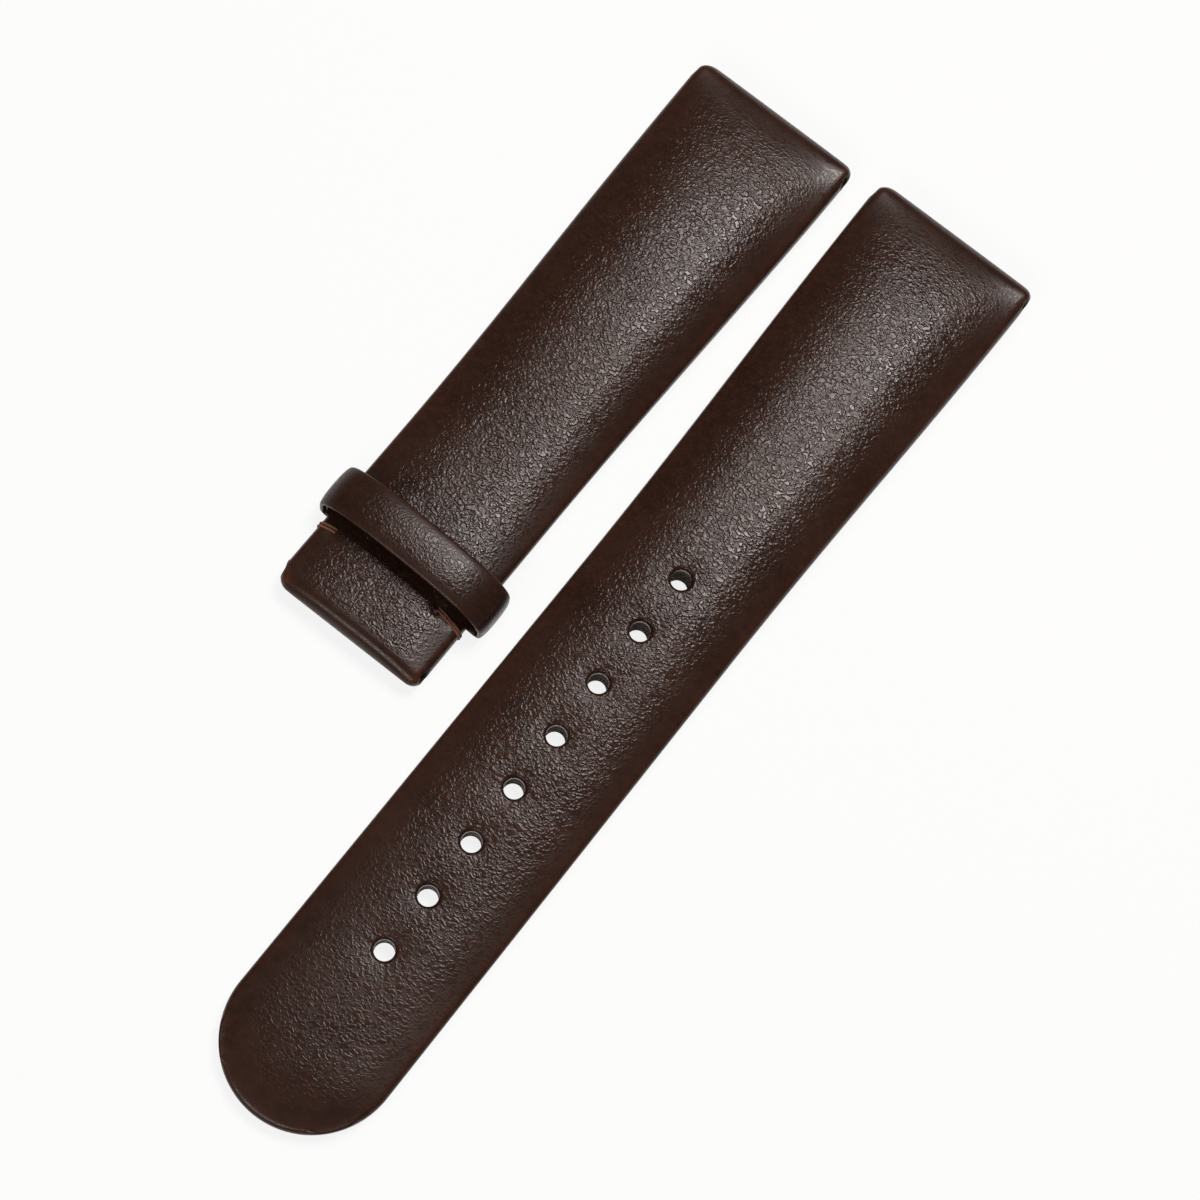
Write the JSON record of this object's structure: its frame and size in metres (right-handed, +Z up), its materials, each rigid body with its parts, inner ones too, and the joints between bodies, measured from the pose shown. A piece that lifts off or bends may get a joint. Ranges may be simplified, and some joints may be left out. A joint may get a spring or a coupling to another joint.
{
  "type": "leather watch strap",
  "caption": "Padded leather watch strap in separate halves: a long tail with a rounded tip and punched adjusting holes, and a short half with a fixed keeper; folded ends hold bar channels.",
  "frame": {"origin": "centre of the box round both halves, on the floor that they lie on", "axes": "+X across the halves, from the short one with the keeper to the long one with the holes; +Y along them to the lug ends; +Z up from the linings to the crowned tops"},
  "size_m": [0.0432, 0.115, 0.0079],
  "materials": {
    "upper_leather": "smooth, fine grain, soft sheen",
    "lining_leather": "matt",
    "padding": "leather fibre board, matt",
    "stay": "woven non-stretch tape",
    "tape": "woven thin tape",
    "thread": "waxed thread"
  },
  "bodies": {
    "buckle_half": {"buckle_half_lining": "lining_leather", "buckle_half_stay": "stay", "buckle_half_padding": "padding", "buckle_half_lug_tape": "tape", "clasp_end_tape": "tape", "buckle_half_upper": "upper_leather", "keeper_band": "upper_leather", "keeper_lining": "lining_leather", "right_tack": "thread", "left_tack": "thread"},
    "tail_half": {"tail_half_lining": "lining_leather", "tail_half_stay": "stay", "tail_half_padding": "padding", "tail_half_lug_tape": "tape", "tail_half_upper": "upper_leather"}
  },
  "joints": [
    {"name": "tail_half_lift", "type": "slide", "parent": "buckle_half", "child": "tail_half", "axis": [0, 0, 1], "range_m": [0, 0.03]}
  ]
}
